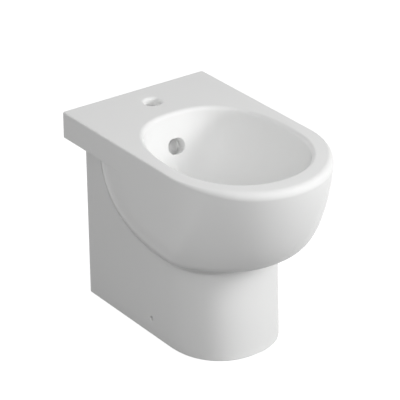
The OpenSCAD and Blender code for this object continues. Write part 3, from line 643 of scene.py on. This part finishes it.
def turned(name, corners, sides=96):
    """Body turned round the z axis from a rounded outline, a ring or with both ends on the axis."""
    line = np.array(rounded(corners))
    a = 2 * np.pi * np.arange(sides) / sides
    points = np.stack([np.outer(line[:, 0], np.cos(a)), np.outer(line[:, 0], np.sin(a)),
                       np.repeat(line[:, 1:], sides, axis=1)], -1).reshape(-1, 3)
    count = len(line)
    faces = [[j * sides + k, j * sides + (k + 1) % sides,
              (j + 1) % count * sides + (k + 1) % sides, (j + 1) % count * sides + k]
             for j in range(count if line[0, 0] > 0 else count - 1) for k in range(sides)]
    return outward(new_object(name, mesh_of(name, points, faces)))


class Tree:
    """A Geometry Nodes tree with named inputs; the last steps realise it and set its material."""

    def __init__(self, name, **inputs):
        self.tree = bpy.data.node_groups.new(name, "GeometryNodeTree")
        face = self.tree.interface
        self.inlets = {"Geometry": face.new_socket("Geometry", in_out="INPUT",
                                                   socket_type="NodeSocketGeometry")}
        for key, kind in inputs.items():
            self.inlets[key] = face.new_socket(key, in_out="INPUT", socket_type="NodeSocket" + kind)
        face.new_socket("Geometry", in_out="OUTPUT", socket_type="NodeSocketGeometry")
        self.group_in = self.tree.nodes.new("NodeGroupInput")

    def given(self, key):
        return self.group_in.outputs[key]

    def node(self, kind, settings=None, values=None, out=0):
        n = self.tree.nodes.new(kind)
        for key, value in (settings or {}).items():
            setattr(n, key, value)
        for key, value in (values or {}).items():
            for item in value if isinstance(value, list) else [value]:
                if isinstance(item, bpy.types.NodeSocket):
                    self.tree.links.new(item, n.inputs[key])
                else:
                    n.inputs[key].default_value = item
        return n.outputs[out]

    def close(self, geometry):
        whole = self.node("GeometryNodeRealizeInstances", None, {"Geometry": geometry})
        dressed = self.node("GeometryNodeSetMaterial", None,
                            {"Geometry": whole, "Material": self.given("Material")})
        self.tree.links.new(dressed, self.tree.nodes.new("NodeGroupOutput").inputs[0])

    def grow(self, obj, **values):
        """Runs the tree on an object and keeps the result as its plain mesh."""
        mod = obj.modifiers.new(self.tree.name, "NODES")
        mod.node_group = self.tree
        for key, value in values.items():
            mod[self.inlets[key].identifier] = value
        keep_result(obj)
        return obj


def grip_rib_tree():
    """Round ended grip ribs, evenly spaced on a turned body and merged with it."""
    t = Tree("grip_ribs", Count="Int", Reach="Float", Radius="Float", Start="Float", End="Float",
             Material="Material")

    def maths(operation, a, b=0.0):
        return t.node("ShaderNodeMath", {"operation": operation}, {0: a, 1: b})

    def raised(geometry, z):
        lift = t.node("ShaderNodeCombineXYZ", None, {"Z": z})
        return t.node("GeometryNodeSetPosition", None, {"Geometry": geometry, "Offset": lift})
    half = maths("MULTIPLY", maths("SUBTRACT", t.given("End"), t.given("Start")), 0.5)
    middle = maths("ADD", half, t.given("Start"))
    stretch = maths("SUBTRACT", half, t.given("Radius"))
    ball = t.node("GeometryNodeMeshUVSphere", None,
                  {"Segments": RIB_SEGMENTS, "Rings": RIB_RINGS, "Radius": t.given("Radius")})
    height = t.node("ShaderNodeSeparateXYZ", None, {0: t.node("GeometryNodeInputPosition")}, out=2)
    rib = raised(ball, maths("MULTIPLY", maths("SIGN", height), stretch))
    spots = t.node("GeometryNodeMeshCircle", None,
                   {"Vertices": t.given("Count"), "Radius": t.given("Reach")})
    ribs = t.node("GeometryNodeInstanceOnPoints", None,
                  {"Points": raised(spots, middle), "Instance": rib})
    ribs = t.node("GeometryNodeRealizeInstances", None, {"Geometry": ribs})
    t.close(t.node("GeometryNodeMeshBoolean", {"operation": "UNION", "solver": "EXACT"},
                   {"Mesh 2": [t.given("Geometry"), ribs]}))
    return t


def place_turned(obj, y, z, turn=0.0):
    """Puts a turned body's axis at the drain, y mm behind it, turned round x, into the frame."""
    matrix = Matrix.Translation((0, y - DRAIN_Y, z)) @ Matrix.Rotation(math.radians(turn), 4, "X")
    obj.data.transform(matrix)
    return finished(into_frame(obj), 30)


def union_nut(tree, name, bore, height, y, z, turn, material):
    """Moulded nut: lip at its start, bore over the thread, rounded rims and grip ribs."""
    inner, outer = PIPE_R + SLIP_GAP, bore + NUT_WALL
    nut = turned(name, [(inner, 0, NUT_BEVEL), (outer, 0, NUT_ROUND), (outer, height, NUT_RIM),
                        (bore, height, NUT_BEVEL), (bore, NUT_LIP, 0),
                        (inner, NUT_LIP, NUT_BEVEL)])
    tree.grow(nut, Count=RIB_COUNT, Reach=outer + RIB_OUT - RIB_R, Radius=RIB_R, Start=RIB_END,
              End=height - RIB_END, Material=material)
    return place_turned(nut, y, z, turn)


def screw_cup(tree, name, material):
    """Cup of the trap: slanted foot, dished inside, seat for its ring and grip ribs."""
    low, top, wall = TRAP_LOW - RING_T - CUP_Z, TRAP_LOW + CUP_GRIP - CUP_Z, TRAP_R + RUNNING_GAP
    cup = turned(name, [
        (0, 0, 0), (CUP_OUT - CUP_BASE, 0, CUP_SOFT),
        (CUP_OUT - CUP_SLANT_W, CUP_SLANT_H, CUP_SOFT), (CUP_OUT, CUP_ROUND, CUP_SOFTER),
        (CUP_OUT, top, NUT_RIM), (wall, top, NUT_BEVEL), (wall, low, 0), (CUP_IN, low, NUT_BEVEL),
        (CUP_IN, CUP_DISH_Z, CUP_SOFTER), (CUP_IN - CUP_DISH_W, CUP_FLOOR, CUP_SOFT),
        (0, CUP_FLOOR, 0)])
    tree.grow(cup, Count=RIB_COUNT, Reach=CUP_OUT + RIB_OUT - RIB_R, Radius=RIB_R,
              Start=CUP_ROUND + RIB_END, End=top - RIB_END, Material=material)
    return place_turned(cup, 0, CUP_Z)


def build_trap_grips(material):
    """Nuts and cup of the trap, by the name of the CAD node that each one replaces."""
    ribs = grip_rib_tree()
    return {
        "tail_nut": union_nut(ribs, "ribbed_tail_nut", WASTE_R + RUNNING_GAP,
                              NUT_LIP + TAIL_RINGS + TAIL_THREAD, 0,
                              TAIL_Z - TAIL_RINGS - NUT_LIP, 0, material),
        "head_nut": union_nut(ribs, "ribbed_head_nut", NECK_R + RUNNING_GAP,
                              NECK_LEN + WASHER_T + NUT_LIP - NECK_FREE, 0,
                              NECK_Z + WASHER_T + NUT_LIP, 180, material),
        "outlet_nut": union_nut(ribs, "ribbed_outlet_nut", STUB_R + RUNNING_GAP,
                                SOCKET_LEN + WASHER_T, STUB_LEN + WASHER_T + NUT_LIP, OUTLET_Z, 90,
                                material),
        "trap_cup": screw_cup(ribs, "ribbed_cup", material)}


# ---- return spring --------------------------------------------------------------------------
def build_spring(low, high):
    """Return spring of the plug between two heights, mm, with one closed turn at each end."""
    steps, wire = SPRING_TURNS * TURN_STEPS, 2 * WIRE_R
    turn = np.linspace(0, SPRING_TURNS, steps + 1)
    rise = high - low - wire
    z = low + WIRE_R + np.interp(turn, [0, 1, SPRING_TURNS - 1, SPRING_TURNS],
                                 [0, wire, rise - wire, rise])
    points = []
    for t, middle in zip(2 * math.pi * turn, z):
        for b in np.linspace(0, 2 * math.pi, WIRE_SIDES, endpoint=False):
            r = SPRING_R + WIRE_R * math.cos(b)
            points.append((r * math.cos(t), r * math.sin(t) - DRAIN_Y,
                           middle + WIRE_R * math.sin(b)))
    mesh = mesh_of("coiled_spring", points, tube_faces(steps + 1, WIRE_SIDES))
    return finished(outward(into_frame(new_object("coiled_spring", mesh))))


# ---- finishes -------------------------------------------------------------------------------
BLACK, WHITE = (0, 0, 0), (1, 1, 1)


class Socket:
    """An output socket that can be used in arithmetic; each sign adds its Math node."""

    def __init__(self, finish, out):
        self.finish, self.out = finish, out

    def _math(self, operation, a, b):
        return self.finish.node("ShaderNodeMath", {"operation": operation}, {0: a, 1: b})

    def __add__(self, other):
        return self._math("ADD", self, other)

    def __radd__(self, other):
        return self._math("ADD", other, self)

    def __sub__(self, other):
        return self._math("SUBTRACT", self, other)

    def __rsub__(self, other):
        return self._math("SUBTRACT", other, self)

    def __mul__(self, other):
        return self._math("MULTIPLY", self, other)

    def __rmul__(self, other):
        return self._math("MULTIPLY", other, self)


class Finish:
    """A material with one Principled shader and the nodes that feed it."""

    def __init__(self, name, **fixed):
        self.material = bpy.data.materials.new(name)
        self.material.use_nodes = True
        self.tree = self.material.node_tree
        self.shader = next(n for n in self.tree.nodes if n.type == "BSDF_PRINCIPLED")
        for key, value in fixed.items():
            self.shader.inputs[key.replace("_", " ")].default_value = value
        self.place = self.node("ShaderNodeTexCoord", out="Object")

    def node(self, kind, settings=None, values=None, out=0):
        """Adds a node: its settings first, then the values or links of its sockets."""
        n = self.tree.nodes.new(kind)
        for key, value in (settings or {}).items():
            if key == "stops":
                ramp = n.color_ramp
                while len(ramp.elements) < len(value):
                    ramp.elements.new(0.5)
                for element, (position, colour) in zip(ramp.elements, value):
                    element.position = position
                    element.color = colour if len(colour) == 4 else (*colour, 1)
            else:
                setattr(n, key, value)
        for key, value in (values or {}).items():
            if isinstance(value, Socket):
                self.tree.links.new(value.out, n.inputs[key])
            else:
                n.inputs[key].default_value = value
        return Socket(self, n.outputs[out])

    def noise(self, scale, detail=3.0, roughness=0.5, stretch=None):
        where = self.place
        if stretch:
            where = self.node("ShaderNodeMapping", None, {"Vector": where, "Scale": stretch})
        return self.node("ShaderNodeTexNoise", None,
                         {"Vector": where, "Scale": scale, "Detail": detail,
                          "Roughness": roughness})

    def ramp(self, source, *stops):
        return self.node("ShaderNodeValToRGB", {"stops": stops}, {"Fac": source})

    def tint(self, mask, a, b):
        """Colour a where the mask is 0 and colour b where it is 1."""
        return self.node("ShaderNodeMix", {"data_type": "RGBA"},
                         {0: mask, 6: a if isinstance(a, Socket) else (*a, 1),
                          7: b if isinstance(b, Socket) else (*b, 1)}, out=2)

    def bump(self, height, distance, strength=1.0):
        return self.node("ShaderNodeBump", None,
                         {"Height": height, "Distance": distance, "Strength": strength})

    def feed(self, **links):
        for key, value in links.items():
            self.tree.links.new(value.out, self.shader.inputs[key.replace("_", " ")])
        return self.material


def glazed_ceramic():
    """White glaze, biscuit where it is bare, and gloss taken away along the crease as painted
    shade.
    """
    f = Finish("glazed_china", Specular_IOR_Level=0.0, Coat_IOR=1.5, Coat_Roughness=0.12)
    glaze = f.node("ShaderNodeAttribute", {"attribute_name": "glaze"}, out="Fac")
    glazed = f.ramp(glaze, (0.35, BLACK), (0.65, WHITE))
    # painted shade: the coat's gloss is taken away along the crease so that the crease reads darker
    painted_crease_shade = f.ramp(glaze * 0.5, (0.5, BLACK), (0.95, WHITE))
    drift = f.noise(scale=7.0, detail=2.0)
    grain = f.noise(scale=900.0, detail=4.0, roughness=0.7)
    white = f.tint(drift, (0.885, 0.888, 0.885), (0.905, 0.905, 0.898))
    biscuit = f.tint(grain, (0.70, 0.66, 0.60), (0.80, 0.77, 0.71))
    colour = f.tint(glazed, biscuit, white)
    rough = 0.62 - glazed * (0.50 + 0.04 * drift)
    peel = f.noise(scale=120.0, detail=1.0) * glazed * 0.35 + grain * (1 - glazed)
    gloss = 0.5 * glazed * (1 - painted_crease_shade)
    return f.feed(Base_Color=colour, Roughness=rough, Coat_Weight=gloss,
                  Normal=f.bump(peel, distance=0.00006))


def polished_chrome():
    f = Finish("chrome_plate", Metallic=1.0)
    wipe = f.noise(scale=60.0, detail=4.0, roughness=0.6)
    ripple = f.noise(scale=400.0, detail=2.0)
    colour = f.tint(wipe, (0.78, 0.79, 0.81), (0.84, 0.845, 0.86))
    return f.feed(Base_Color=colour, Roughness=0.05 + 0.08 * wipe,
                  Normal=f.bump(ripple, distance=0.00001))


def turned_brass():
    f = Finish("turned_brass", Metallic=1.0)
    dull = f.noise(scale=45.0, detail=5.0, roughness=0.65)
    lathe = f.noise(scale=1.0, detail=2.0, stretch=(30.0, 30.0, 2600.0))
    colour = f.tint(dull, (0.72, 0.54, 0.27), (0.56, 0.41, 0.20))
    return f.feed(Base_Color=colour, Roughness=0.24 + 0.2 * dull,
                  Normal=f.bump(lathe, distance=0.00002))


def moulded_rubber(name, low, high):
    f = Finish(name, Specular_IOR_Level=0.35)
    dust = f.noise(scale=80.0, detail=5.0, roughness=0.7)
    skin = f.noise(scale=1500.0, detail=2.0)
    return f.feed(Base_Color=f.tint(dust, low, high), Roughness=0.62 + 0.2 * dust,
                  Normal=f.bump(skin, distance=0.00003))


def moulded_plastic(name, low, high, rough, grain):
    f = Finish(name)
    flow = f.noise(scale=18.0, stretch=(1.0, 1.0, 3.0))
    skin = f.noise(scale=1800.0, detail=2.0, roughness=0.6)
    return f.feed(Base_Color=f.tint(flow, low, high), Roughness=rough + 0.08 * flow,
                  Normal=f.bump(skin, distance=grain))


def drawn_steel(name, low, high, stretch):
    f = Finish(name, Metallic=1.0)
    lines = f.noise(scale=1.0, roughness=0.6, stretch=stretch)
    cloud = f.noise(scale=70.0, detail=4.0, roughness=0.6)
    return f.feed(Base_Color=f.tint(cloud, low, high), Roughness=0.22 + 0.2 * cloud,
                  Normal=f.bump(lines, distance=0.00002))


def dress(obj, material):
    obj.data.materials.clear()
    obj.data.materials.append(material)


china = glazed_ceramic()
chrome = polished_chrome()
brass = turned_brass()
black_rubber = moulded_rubber("black_rubber", (0.018, 0.018, 0.019), (0.05, 0.05, 0.052))
grey_rubber = moulded_rubber("grey_rubber", (0.16, 0.165, 0.17), (0.24, 0.245, 0.25))
trap_plastic = moulded_plastic("trap_polypropylene", (0.80, 0.80, 0.79), (0.86, 0.86, 0.85),
                               rough=0.26, grain=0.00001)
guide_plastic = moulded_plastic("guide_acetal", (0.72, 0.72, 0.69), (0.79, 0.79, 0.76),
                                rough=0.38, grain=0.00002)
bracket_nylon = moulded_plastic("bracket_nylon", (0.10, 0.11, 0.12), (0.15, 0.16, 0.17),
                                rough=0.5, grain=0.00005)
spring_steel = drawn_steel("spring_wire", (0.55, 0.55, 0.56), (0.68, 0.68, 0.69),
                           stretch=(400, 400, 400))
zinc_steel = drawn_steel("zinc_plate", (0.60, 0.61, 0.62), (0.72, 0.72, 0.70),
                         stretch=(900, 60, 60))

finish_of = {
    "waste_body": chrome, "plug_cap": chrome, "waste_backnut": brass,
    "flange_gasket": black_rubber, "boss_seal": black_rubber, "tail_washer": black_rubber,
    "head_washer": black_rubber, "cup_ring": black_rubber, "outlet_washer": black_rubber,
    "plug_seal": grey_rubber, "plug_stem": zinc_steel, "side_screws": zinc_steel,
    "latch_spring": spring_steel, "latch_cartridge": guide_plastic, "side_bushes": guide_plastic,
    "tail_nut": trap_plastic, "dip_tube": trap_plastic, "trap_body": trap_plastic,
    "head_nut": trap_plastic, "trap_cup": trap_plastic, "outlet_nut": trap_plastic,
    "outlet_pipe": trap_plastic, "bracket_left": bracket_nylon, "bracket_right": bracket_nylon}
for node, material in finish_of.items():
    dress(nodes[node], material)

body = build_ceramic()
dress(body, china)
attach(body, "fixture")
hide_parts("ceramic_body")
spring_ends = [(nodes["latch_spring"].matrix_world @ Vector(corner)).z
               for corner in nodes["latch_spring"].bound_box]
spring = build_spring(min(spring_ends) / MM, max(spring_ends) / MM)
dress(spring, spring_steel)
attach(spring, "fixture")
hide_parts("latch_spring")
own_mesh(spring)
for node, piece in build_trap_grips(trap_plastic).items():
    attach(piece, "fixture")
    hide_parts(node)


# ---- stage: floor, light and camera, in metres ----------------------------------------------
FLOOR_HALF, FLOOR_TONE, FLOOR_GLOW = 6.0, 0.3, 0.9
AMBIENT = 0.09
LAMP_FAR, LAMP_AIM = 3.5, Vector((0, 0, 0.25))
LAMPS = {                                    # azimuth, elevation, watts, width
    "key_softbox": (-45, 25, 53.0, 0.8), "front_low_softbox": (-60, 14, 18.0, 0.8),
    "front_high_softbox": (-60, 40, 18.0, 0.8), "left_low_softbox": (-150, 20, 26.0, 2.0),
    "left_softbox": (180, 40, 11.0, 2.0), "fill_softbox": (-120, 40, 13.5, 2.0),
    "top_softbox": (0, 90, 18.5, 2.0), "back_softbox": (90, 20, 30.0, 2.0)}
CAMERA_LENS, CAMERA_SENSOR, CAMERA_REACH = 204.99, 36.0, 50.0
CAMERA_PLACE = Vector((-2.42360, -3.23094, 2.33339))
CAMERA_RIGHT = Vector((0.80397073, -0.59466888, 0.0))
CAMERA_UP = Vector((0.26837893, 0.36283857, 0.89236816))


def either_ray(tree, first, second):
    """1 for a ray that is of one of two kinds."""
    greater = tree.nodes.new("ShaderNodeMath")
    greater.operation = "MAXIMUM"
    tree.links.new(first, greater.inputs[0])
    tree.links.new(second, greater.inputs[1])
    return greater.outputs[0]


def stage_material():
    """Pale floor: its own light for the camera and reflections makes it white round the shadow."""
    mat = bpy.data.materials.new("pale_floor")
    mat.use_nodes = True
    tree = mat.node_tree
    tree.nodes.clear()
    out = tree.nodes.new("ShaderNodeOutputMaterial")
    diffuse = tree.nodes.new("ShaderNodeBsdfDiffuse")
    diffuse.inputs["Color"].default_value = (FLOOR_TONE, FLOOR_TONE, FLOOR_TONE, 1)
    glow = tree.nodes.new("ShaderNodeEmission")
    both = tree.nodes.new("ShaderNodeAddShader")
    path = tree.nodes.new("ShaderNodeLightPath")
    seen = either_ray(tree, path.outputs["Is Camera Ray"], path.outputs["Is Glossy Ray"])
    level = tree.nodes.new("ShaderNodeMath")
    level.operation = "MULTIPLY"
    level.inputs[1].default_value = FLOOR_GLOW
    tree.links.new(seen, level.inputs[0])
    tree.links.new(level.outputs[0], glow.inputs["Strength"])
    tree.links.new(diffuse.outputs[0], both.inputs[0])
    tree.links.new(glow.outputs[0], both.inputs[1])
    tree.links.new(both.outputs[0], out.inputs["Surface"])
    return mat


def build_stage():
    corners = [(-FLOOR_HALF, -FLOOR_HALF, 0), (FLOOR_HALF, -FLOOR_HALF, 0),
               (FLOOR_HALF, FLOOR_HALF, 0), (-FLOOR_HALF, FLOOR_HALF, 0)]
    floor = new_object("floor", mesh_of("floor", corners, [(0, 1, 2, 3)]))
    floor.data.materials.append(stage_material())


def build_world():
    """White for rays from the camera, through glass and off gloss, and dim for all others."""
    world = bpy.data.worlds.new("studio")
    bpy.context.scene.world = world
    world.use_nodes = True
    tree = world.node_tree
    tree.nodes.clear()
    out = tree.nodes.new("ShaderNodeOutputWorld")
    back = tree.nodes.new("ShaderNodeBackground")
    path = tree.nodes.new("ShaderNodeLightPath")
    shown = either_ray(tree, path.outputs["Is Camera Ray"], path.outputs["Is Transmission Ray"])
    seen = either_ray(tree, shown, path.outputs["Is Glossy Ray"])
    level = tree.nodes.new("ShaderNodeMapRange")
    level.inputs["To Min"].default_value = AMBIENT
    level.inputs["To Max"].default_value = 1.0
    tree.links.new(seen, level.inputs["Value"])
    tree.links.new(level.outputs[0], back.inputs["Strength"])
    tree.links.new(back.outputs[0], out.inputs["Surface"])


def softbox(name, azimuth, elevation, watts, width):
    """Square lamp aimed at the bowl, which the glaze does not mirror."""
    lamp = bpy.data.lights.new(name, "AREA")
    lamp.shape, lamp.size, lamp.energy = "SQUARE", width, watts
    a, e = math.radians(azimuth), math.radians(elevation)
    way = Vector((math.cos(e) * math.cos(a), math.cos(e) * math.sin(a), math.sin(e)))
    obj = new_object(name, lamp)
    obj.location = LAMP_AIM + LAMP_FAR * way
    obj.rotation_euler = (-way).to_track_quat("-Z", "Y").to_euler()
    obj.visible_glossy = False


def build_camera():
    cam = bpy.data.cameras.new("camera")
    cam.lens, cam.sensor_width, cam.clip_end = CAMERA_LENS, CAMERA_SENSOR, CAMERA_REACH
    back = CAMERA_RIGHT.cross(CAMERA_UP)
    turn = Matrix((CAMERA_RIGHT, CAMERA_UP, back)).transposed().to_4x4()
    obj = new_object("camera", cam)
    obj.matrix_world = Matrix.Translation(CAMERA_PLACE) @ turn
    bpy.context.scene.camera = obj


build_stage()
build_world()
for name, lamp in LAMPS.items():
    softbox(name, *lamp)
build_camera()
bpy.context.scene.view_settings.view_transform = "Standard"
